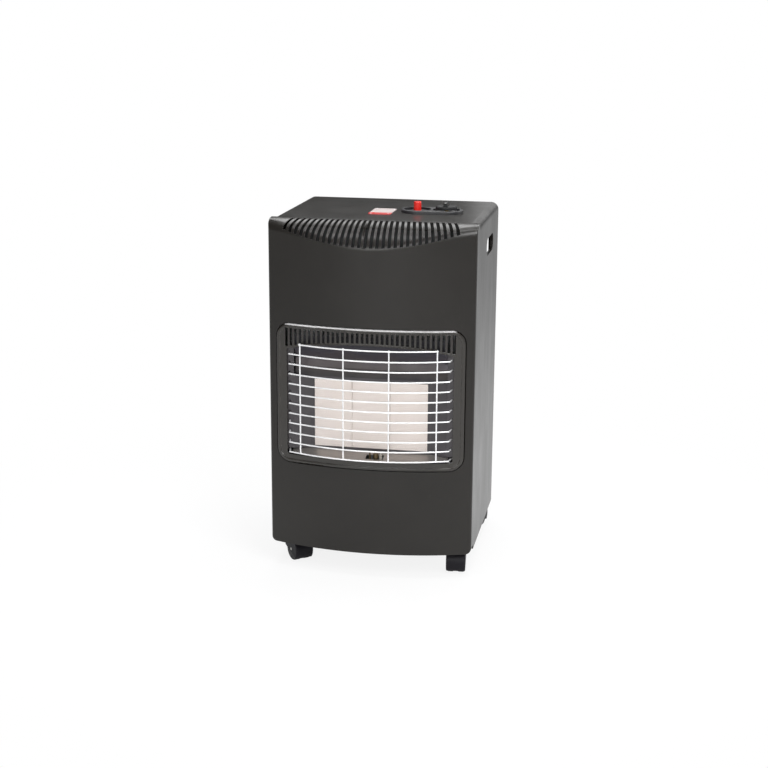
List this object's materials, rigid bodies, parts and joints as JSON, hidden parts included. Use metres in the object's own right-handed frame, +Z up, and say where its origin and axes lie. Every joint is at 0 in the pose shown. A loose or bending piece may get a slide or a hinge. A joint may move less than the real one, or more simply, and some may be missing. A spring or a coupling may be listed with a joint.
{
  "type": "portable gas cabinet heater",
  "caption": "Floor-standing gas cabinet heater with a bowed front, louvred top, guarded ceramic burner, top controls, a bottle bay behind and swivel castors.",
  "frame": {"origin": "on the floor under the middle of the heater's bounding box", "axes": "+Z up, the burner faces -Y, +X to the right seen from the front"},
  "size_m": [0.42, 0.4665, 0.7495],
  "materials": {
    "cabinet_paint": "satin charcoal powder coat",
    "surround_paint": "satin warm charcoal heat-proof paint",
    "guard_chrome": "bright chrome-plated wire",
    "reflector_bright": "polished aluminised sheet",
    "reflector_dark": "heat-darkened sheet",
    "sheet_zinc": "galvanised sheet",
    "burner_steel": "aluminised steel",
    "plaque_ceramic": "unglazed perforated cordierite",
    "gasket_fibre": "ceramic fibre",
    "brass": "turned brass",
    "pipe_aluminium": "bare aluminium tube",
    "spring_steel": "bright spring wire",
    "zinc_steel": "zinc plated",
    "control_black": "fine-grained black moulding",
    "button_red": "glossy red",
    "insulator_white": "glazed white",
    "castor_black": "satin black nylon",
    "wheel_black": "black nylon tread"
  },
  "bodies": {
    "cabinet": {"cabinet_wrapper": "cabinet_paint", "front_panel": "cabinet_paint", "base_tray": "cabinet_paint", "burner_surround": "surround_paint", "wire_guard": "guard_chrome", "guard_uprights": "guard_chrome", "side_cheek_left": "reflector_dark", "side_cheek_right": "reflector_dark", "upper_reflector": "reflector_dark", "lower_reflector": "reflector_bright", "plaque_frame": "reflector_dark", "plaque_gasket": "gasket_fibre", "burner_housing": "burner_steel", "ceramic_plaque_left": "plaque_ceramic", "ceramic_plaque_centre": "plaque_ceramic", "ceramic_plaque_right": "plaque_ceramic", "venturi_tube_left": "burner_steel", "venturi_tube_centre": "burner_steel", "venturi_tube_right": "burner_steel", "supply_pipe_left": "pipe_aluminium", "supply_pipe_centre": "pipe_aluminium", "supply_pipe_right": "pipe_aluminium", "pilot_pipe": "pipe_aluminium", "injector_rail": "sheet_zinc", "injectors": "brass", "pilot_bracket": "sheet_zinc", "pilot_burner": "brass", "thermocouple": "burner_steel", "spark_electrode": "insulator_white", "heat_shield": "sheet_zinc", "control_escutcheon": "control_black", "valve_bracket": "sheet_zinc", "gas_valve": "brass", "hose_nut": "brass", "hose_tail": "brass", "igniter_body": "control_black", "igniter_nut": "zinc_steel", "castor_plates": "zinc_steel", "castor_screws": "zinc_steel", "knob_spring": "spring_steel", "button_spring": "spring_steel"},
    "rear_cover": {"rear_cover": "cabinet_paint"},
    "knob_carrier": {"spindle_collar": "zinc_steel"},
    "control_knob": {"control_knob": "control_black", "valve_spindle": "brass"},
    "igniter_button": {"igniter_button": "button_red"},
    "castor_front_left": {"castor_front_left_hood": "castor_black"},
    "wheels_front_left": {"castor_front_left_axle": "zinc_steel", "castor_front_left_wheels": "wheel_black"},
    "castor_front_right": {"castor_front_right_hood": "castor_black"},
    "wheels_front_right": {"castor_front_right_axle": "zinc_steel", "castor_front_right_wheels": "wheel_black"},
    "castor_rear_left": {"castor_rear_left_hood": "castor_black"},
    "wheels_rear_left": {"castor_rear_left_axle": "zinc_steel", "castor_rear_left_wheels": "wheel_black"},
    "castor_rear_right": {"castor_rear_right_hood": "castor_black"},
    "wheels_rear_right": {"castor_rear_right_axle": "zinc_steel", "castor_rear_right_wheels": "wheel_black"}
  },
  "joints": [
    {"name": "cover_lift", "type": "slide", "parent": "cabinet", "child": "rear_cover", "axis": [0, 0, 1], "range_m": [0, 0.014]},
    {"name": "knob_press", "type": "slide", "parent": "cabinet", "child": "knob_carrier", "axis": [0, 0, -1], "range_m": [0, 0.005], "stiffness_N_per_m": 600, "springref_m": -0.004, "deforming": ["knob_spring"]},
    {"name": "knob_turn", "type": "hinge", "parent": "knob_carrier", "child": "control_knob", "pos_m": [0.124, -0.01075, 0.732], "axis": [0, 0, 1], "range_deg": [0, 210]},
    {"name": "igniter_press", "type": "slide", "parent": "cabinet", "child": "igniter_button", "axis": [0, 0, -1], "range_m": [0, 0.008], "stiffness_N_per_m": 1200, "springref_m": -0.003, "deforming": ["button_spring"]},
    {"name": "castor_front_left_swivel", "type": "hinge", "parent": "cabinet", "child": "castor_front_left", "pos_m": [-0.1735, -0.11975, 0.052], "axis": [0, 0, 1], "continuous": true},
    {"name": "castor_front_left_roll", "type": "hinge", "parent": "castor_front_left", "child": "wheels_front_left", "pos_m": [-0.16064, -0.13507, 0.0245], "axis": [0.766, 0.6428, 0], "continuous": true},
    {"name": "castor_front_right_swivel", "type": "hinge", "parent": "cabinet", "child": "castor_front_right", "pos_m": [0.1735, -0.11975, 0.052], "axis": [0, 0, 1], "continuous": true},
    {"name": "castor_front_right_roll", "type": "hinge", "parent": "castor_front_right", "child": "wheels_front_right", "pos_m": [0.17524, -0.13967, 0.0245], "axis": [0.9962, 0.0872, 0], "continuous": true},
    {"name": "castor_rear_left_swivel", "type": "hinge", "parent": "cabinet", "child": "castor_rear_left", "pos_m": [-0.1735, 0.13325, 0.052], "axis": [0, 0, 1], "continuous": true},
    {"name": "castor_rear_left_roll", "type": "hinge", "parent": "castor_rear_left", "child": "wheels_rear_left", "pos_m": [-0.17868, 0.15257, 0.0245], "axis": [-0.9659, -0.2588, 0], "continuous": true},
    {"name": "castor_rear_right_swivel", "type": "hinge", "parent": "cabinet", "child": "castor_rear_right", "pos_m": [0.1735, 0.13325, 0.052], "axis": [0, 0, 1], "continuous": true},
    {"name": "castor_rear_right_roll", "type": "hinge", "parent": "castor_rear_right", "child": "wheels_rear_right", "pos_m": [0.178, 0.15274, 0.0245], "axis": [-0.9744, 0.225, 0], "continuous": true}
  ]
}
